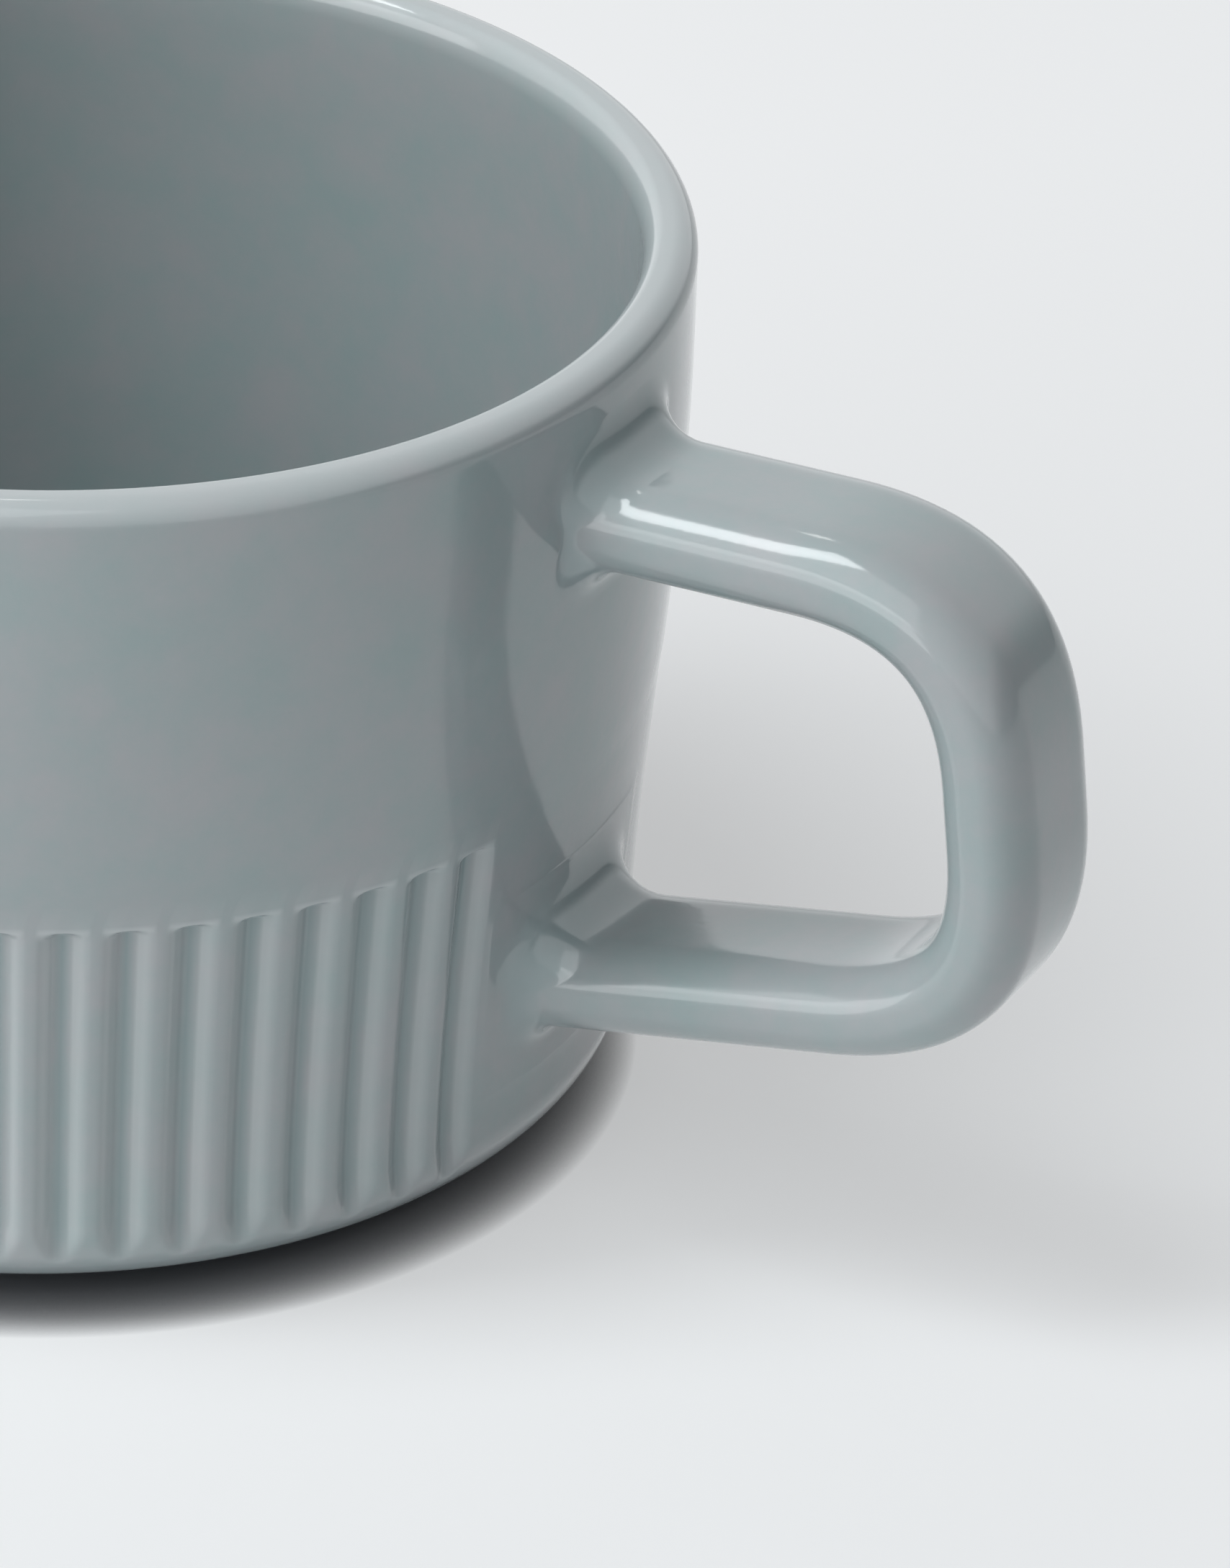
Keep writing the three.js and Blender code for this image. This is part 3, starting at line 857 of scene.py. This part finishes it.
# %% Blue-grey glaze
GLAZE_GREEN = (0.32, 0.395, 0.395, 1)
GLAZE_PINK = (0.388, 0.4, 0.41, 1)
GLAZE_POOLED = (0.26, 0.34, 0.345, 1)
# thin-glaze colour, which on the flutes' flanks and top edges is also painted light
GLAZE_THIN_AND_PAINTED_LIGHT = (0.56, 0.595, 0.595, 1)
GLAZE_IOR = 1.6
PINHOLE_PALE = (0.6, 0.62, 0.6, 1)
PINHOLE_RARITY = 0.93
PINHOLE_HEIGHT = -2.0


class NodeSketch:
    """Adds nodes to a material or a world and links them in one call."""

    def __init__(self, owner):
        self.tree = owner.node_tree

    def add(self, kind, inputs=None, **settings):
        node = self.tree.nodes.new(kind)
        for key, value in settings.items():
            setattr(node, key, value)
        for key, value in (inputs or {}).items():
            if isinstance(value, bpy.types.NodeSocket):
                self.tree.links.new(value, node.inputs[key])
            else:
                node.inputs[key].default_value = value
        return node


def new_material(name):
    material = bpy.data.materials.new(name)
    material.use_nodes = True
    shader = material.node_tree.nodes["Principled BSDF"]
    return material, NodeSketch(material), shader


def rgba_mix(sketch, factor, first, second):
    """A colour mix whose sockets are picked by type, since names repeat for each type."""
    node = sketch.tree.nodes.new("ShaderNodeMix")
    node.data_type = "RGBA"
    for socket, value in zip((node.inputs[0], node.inputs[6], node.inputs[7]), (factor, first, second)):
        if isinstance(value, bpy.types.NodeSocket):
            sketch.tree.links.new(value, socket)
        else:
            socket.default_value = value
    return node.outputs[2]


def make_glaze():
    material, sketch, shader = new_material("blue_grey_glaze")
    place = sketch.add("ShaderNodeTexCoord").outputs["Object"]
    drift = sketch.add(
        "ShaderNodeTexNoise", {"Vector": place, "Scale": 170.0, "Detail": 7.0, "Roughness": 0.66}
    )
    drift_share = sketch.add(
        "ShaderNodeMapRange", {"Value": drift.outputs["Fac"], "From Min": 0.32, "From Max": 0.68}
    )
    colour = rgba_mix(sketch, drift_share.outputs["Result"], GLAZE_GREEN, GLAZE_PINK)
    depth = sketch.add("ShaderNodeAttribute", attribute_name="glaze_depth_and_light").outputs["Fac"]
    pooled = sketch.add("ShaderNodeMapRange", {"Value": depth, "From Min": 0.0, "From Max": 1.0})
    thin_and_lit_share = sketch.add("ShaderNodeMapRange", {"Value": depth, "From Min": 0.0, "From Max": -1.0})
    colour = rgba_mix(sketch, pooled.outputs["Result"], colour, GLAZE_POOLED)
    # paler thin glaze, also painted light on flute flanks and top edges
    colour = rgba_mix(sketch, thin_and_lit_share.outputs["Result"], colour, GLAZE_THIN_AND_PAINTED_LIGHT)
    pores = sketch.add("ShaderNodeTexVoronoi", {"Vector": place, "Scale": 260.0})
    rare = sketch.add(
        "ShaderNodeMath", {0: pores.outputs["Color"], 1: PINHOLE_RARITY}, operation="GREATER_THAN"
    )
    spot = sketch.add(
        "ShaderNodeMapRange", {"Value": pores.outputs["Distance"], "From Min": 0.05, "From Max": 0.02}
    )
    pinhole = sketch.add(
        "ShaderNodeMath", {0: rare.outputs[0], 1: spot.outputs["Result"]}, operation="MULTIPLY"
    )
    colour = rgba_mix(sketch, pinhole.outputs[0], colour, PINHOLE_PALE)
    sketch.tree.links.new(colour, shader.inputs["Base Color"])

    gloss = sketch.add("ShaderNodeTexNoise", {"Vector": place, "Scale": 220.0, "Detail": 2.0})
    roughness = sketch.add(
        "ShaderNodeMapRange", {"Value": gloss.outputs["Fac"], "To Min": 0.08, "To Max": 0.14}
    )
    sketch.tree.links.new(roughness.outputs["Result"], shader.inputs["Roughness"])

    ripple = sketch.add("ShaderNodeTexNoise", {"Vector": place, "Scale": 1800.0, "Detail": 2.0})
    height = sketch.add(
        "ShaderNodeMath",
        {0: pinhole.outputs[0], 1: PINHOLE_HEIGHT, 2: ripple.outputs["Fac"]},
        operation="MULTIPLY_ADD",
    )
    bump = sketch.add("ShaderNodeBump", {"Height": height.outputs[0], "Strength": 0.12, "Distance": 0.00004})
    sketch.tree.links.new(bump.outputs["Normal"], shader.inputs["Normal"])
    shader.inputs["IOR"].default_value = GLAZE_IOR
    return material


glaze = make_glaze()
print("glaze has", len(glaze.node_tree.nodes), "nodes")

# %% [markdown]
# The foot ring is wiped clean before firing, or the cup would weld itself to the kiln shelf. So it
# shows bare stoneware: pale, dry and faintly sandy. It is a second material on the bowl, given to
# the faces that touch the table.

# %% Bare stoneware on the foot ring
BARE_HEIGHT = 0.06
CLAY_DARK = (0.42, 0.37, 0.31, 1)
CLAY_PALE = (0.6, 0.55, 0.48, 1)


def make_bare_clay():
    material, sketch, shader = new_material("bare_stoneware")
    place = sketch.add("ShaderNodeTexCoord").outputs["Object"]
    grain = sketch.add("ShaderNodeTexNoise", {"Vector": place, "Scale": 900.0, "Detail": 4.0})
    colour = rgba_mix(sketch, grain.outputs["Fac"], CLAY_DARK, CLAY_PALE)
    sketch.tree.links.new(colour, shader.inputs["Base Color"])
    bump = sketch.add(
        "ShaderNodeBump", {"Height": grain.outputs["Fac"], "Strength": 0.4, "Distance": 0.0001}
    )
    sketch.tree.links.new(bump.outputs["Normal"], shader.inputs["Normal"])
    shader.inputs["Roughness"].default_value = 0.85
    return material


bare_clay = make_bare_clay()
for piece in pieces.values():
    piece.data.materials.append(glaze)
body_mesh = pieces[BODY].data
body_mesh.materials.append(bare_clay)
bare = 0
for polygon in body_mesh.polygons:
    heights = [body_mesh.vertices[v].co.z * MM for v in polygon.vertices]
    if max(heights) < BARE_HEIGHT:
        polygon.material_index = 1
        bare += 1
print(f"{bare} faces of the foot ring are bare")

# %% [markdown]
# The cup stands on a plain pale table top, one large matt plane. In a studio such
# a table is lit from below or bleached in the picture, so its shadows look paler than they are.
# Here the camera and the gloss see a table that glows a little, and a little more towards the back,
# while the light that bounces off it stays that of a plain one. The glow dies in narrow gaps, and
# there the seen table turns a dark grey, a painted contact shadow, which keeps the dark line under the cup.

# %% Table top
TABLE_SIZE = 4.0
TABLE_GREY = (0.83, 0.838, 0.845, 1)
TABLE_GREY_SEEN = (0.52, 0.525, 0.53, 1)
TABLE_GLOW = 0.4
FAR_GLOW = 0.07
GLOW_IN_GLOSS = 0.1
FAR_GLOW_SPAN = (-0.06, 0.12)
GAP_REACH = 0.0035
GAP_SHARPNESS = 3.0
GAP_SHADOW_GREY = (0.105, 0.11, 0.12, 1)


def seen_or_mirrored(sketch):
    """The light path, and a share that is 1 to the camera and in the gloss of other surfaces."""
    path = sketch.add("ShaderNodeLightPath")
    either = {0: path.outputs["Is Camera Ray"], 1: path.outputs["Is Glossy Ray"]}
    return path, sketch.add("ShaderNodeMath", either, operation="MAXIMUM").outputs[0]


def make_table():
    half = TABLE_SIZE / 2
    mesh = bpy.data.meshes.new("table_top")
    corners = [(-half, -half, 0), (half, -half, 0), (half, half, 0), (-half, half, 0)]
    mesh.from_pydata(corners, [], [(0, 1, 2, 3)])
    table = bpy.data.objects.new("table_top", mesh)
    bpy.context.scene.collection.objects.link(table)
    material, sketch, plain = new_material("pale_table")
    plain.inputs["Base Color"].default_value = TABLE_GREY
    plain.inputs["Roughness"].default_value = 0.7
    plain.inputs["Specular IOR Level"].default_value = 0.2
    path, is_look = seen_or_mirrored(sketch)
    gap = sketch.add("ShaderNodeAmbientOcclusion", {"Distance": GAP_REACH}, samples=12)
    open_share = sketch.add("ShaderNodeMath", {0: gap.outputs["AO"], 1: GAP_SHARPNESS}, operation="POWER")
    near_glow = sketch.add(
        "ShaderNodeMath",
        {0: path.outputs["Is Glossy Ray"], 1: GLOW_IN_GLOSS, 2: TABLE_GLOW},
        operation="MULTIPLY_ADD",
    )
    place = sketch.add("ShaderNodeTexCoord").outputs["Object"]
    away = tuple(photo_direction(0, 1, 0))
    depth = sketch.add("ShaderNodeVectorMath", {0: place, 1: away}, operation="DOT_PRODUCT")
    span_start, span_end = FAR_GLOW_SPAN
    far_glow = sketch.add(
        "ShaderNodeMapRange",
        {"Value": depth.outputs["Value"], "From Min": span_start, "From Max": span_end, "To Max": FAR_GLOW},
    )
    full_glow = sketch.add("ShaderNodeMath", {0: near_glow.outputs[0], 1: far_glow.outputs["Result"]})
    glow_level = sketch.add(
        "ShaderNodeMath", {0: open_share.outputs[0], 1: full_glow.outputs[0]}, operation="MULTIPLY"
    )
    glow = sketch.add("ShaderNodeEmission", {"Color": (1, 1, 1, 1), "Strength": glow_level.outputs[0]})
    # painted contact shadow: the seen table turns dark grey in narrow gaps
    seen_grey = rgba_mix(sketch, open_share.outputs[0], GAP_SHADOW_GREY, TABLE_GREY_SEEN)
    seen = sketch.add("ShaderNodeBsdfDiffuse", {"Color": seen_grey})
    both = sketch.add("ShaderNodeAddShader", {0: seen.outputs[0], 1: glow.outputs[0]})
    look = sketch.add("ShaderNodeMixShader", {0: is_look, 1: plain.outputs[0], 2: both.outputs[0]})
    output = sketch.tree.nodes["Material Output"]
    sketch.tree.links.new(look.outputs[0], output.inputs["Surface"])
    mesh.materials.append(material)


make_table()
print("table top", TABLE_SIZE, "m wide")

# %% [markdown]
# The light comes from a tall window high at the left, a small lamp behind, a soft panel in front, a
# white card low at the left and a dim room. The window draws the bright lines along the arms, and the
# lamp the small ones above them. The card lights the flanks of the flutes that face it and little of
# the inside, because it hardly rises above the rim.
# Each lamp is given by the brightness of its face, and its power follows from its size.

# %% Lamps
LAMPS = {
    "window": {
        "way": (-0.45, -0.1, 0.89),
        "distance": 0.9,
        "width": 0.24,
        "height": 0.66,
        "brightness": 7.2,
        "colour": (0.94, 0.98, 1.0),
    },
    "lamp": {
        "way": (-0.05, 0.5, 0.866),
        "distance": 1.0,
        "width": 0.1,
        "height": 0.07,
        "brightness": 5.0,
        "colour": (1.0, 0.99, 0.97),
    },
    "panel": {
        "way": (-0.46, -0.47, 0.75),
        "distance": 1.2,
        "width": 1.35,
        "height": 1.35,
        "brightness": 0.85,
        "colour": (0.96, 0.985, 1.0),
    },
    "card": {
        "way": (-0.8, -0.56, 0.27),
        "distance": 0.6,
        "width": 0.8,
        "height": 0.32,
        "brightness": 1.65,
        "colour": (0.98, 0.99, 1.0),
    },
}


def area_light(name, way, distance, width, height, brightness, colour):
    """A lamp that faces the middle of the cup, seen along a way from it."""
    direction = photo_direction(*way)
    data = bpy.data.lights.new(name, "AREA")
    data.shape = "RECTANGLE"
    data.size = width
    data.size_y = height
    data.energy = math.pi * width * height * brightness
    data.color = colour
    lamp = bpy.data.objects.new(name, data)
    bpy.context.scene.collection.objects.link(lamp)
    aim = Vector((AXIS_X / MM, 0, CUP_HEIGHT / MM / 3))
    lamp.location = aim + direction.normalized() * distance
    lamp.rotation_mode = "QUATERNION"
    lamp.rotation_quaternion = direction.to_track_quat("Z", "Y")
    lamp.visible_camera = False


for lamp_name, lamp_values in LAMPS.items():
    area_light(lamp_name, **lamp_values)
print("lamps:", ", ".join(LAMPS))

# %% [markdown]
# The room itself is the world. It lights the cup only dimly, so that the lamps can shape it, but in
# the gloss it looks pale, as white walls do. Only its right side is dark, low down, which leaves the
# dark patch on the grip. Two backgrounds are mixed by the kind of ray that asks.

# %% Room
ROOM_LIGHT = 0.2
ROOM_LIGHT_COLOUR = (0.9, 0.95, 1.0, 1)
ROOM_LOOK = 1.35
ROOM_LOOK_COLOUR = (0.97, 0.985, 1.0, 1)
DARK_SIDE_WAY = (1, 0, -0.8)
DARK_SIDE_SPAN = (0.5, 0.85)
DARK_SIDE_LOOK = 0.3


def make_room():
    world = bpy.data.worlds.new("room")
    bpy.context.scene.world = world
    world.use_nodes = True
    sketch = NodeSketch(world)
    sketch.tree.nodes.clear()
    _, is_look = seen_or_mirrored(sketch)
    place = sketch.add("ShaderNodeTexCoord").outputs["Generated"]
    dark_way = photo_direction(*DARK_SIDE_WAY)
    darkness = sketch.add("ShaderNodeVectorMath", {0: place, 1: dark_way}, operation="DOT_PRODUCT")
    span_start, span_end = DARK_SIDE_SPAN
    level = sketch.add(
        "ShaderNodeMapRange",
        {
            "Value": darkness.outputs["Value"],
            "From Min": span_start,
            "From Max": span_end,
            "To Min": ROOM_LOOK,
            "To Max": DARK_SIDE_LOOK,
        },
        interpolation_type="SMOOTHSTEP",
    )
    lit = sketch.add("ShaderNodeBackground", {"Color": ROOM_LIGHT_COLOUR, "Strength": ROOM_LIGHT})
    seen = sketch.add(
        "ShaderNodeBackground", {"Color": ROOM_LOOK_COLOUR, "Strength": level.outputs["Result"]}
    )
    blend = sketch.add("ShaderNodeMixShader", {0: is_look, 1: lit.outputs[0], 2: seen.outputs[0]})
    sketch.add("ShaderNodeOutputWorld", {"Surface": blend.outputs[0]})


make_room()
bpy.context.scene.view_settings.view_transform = "Standard"
print("room lights at", ROOM_LIGHT, "and looks like", ROOM_LOOK)
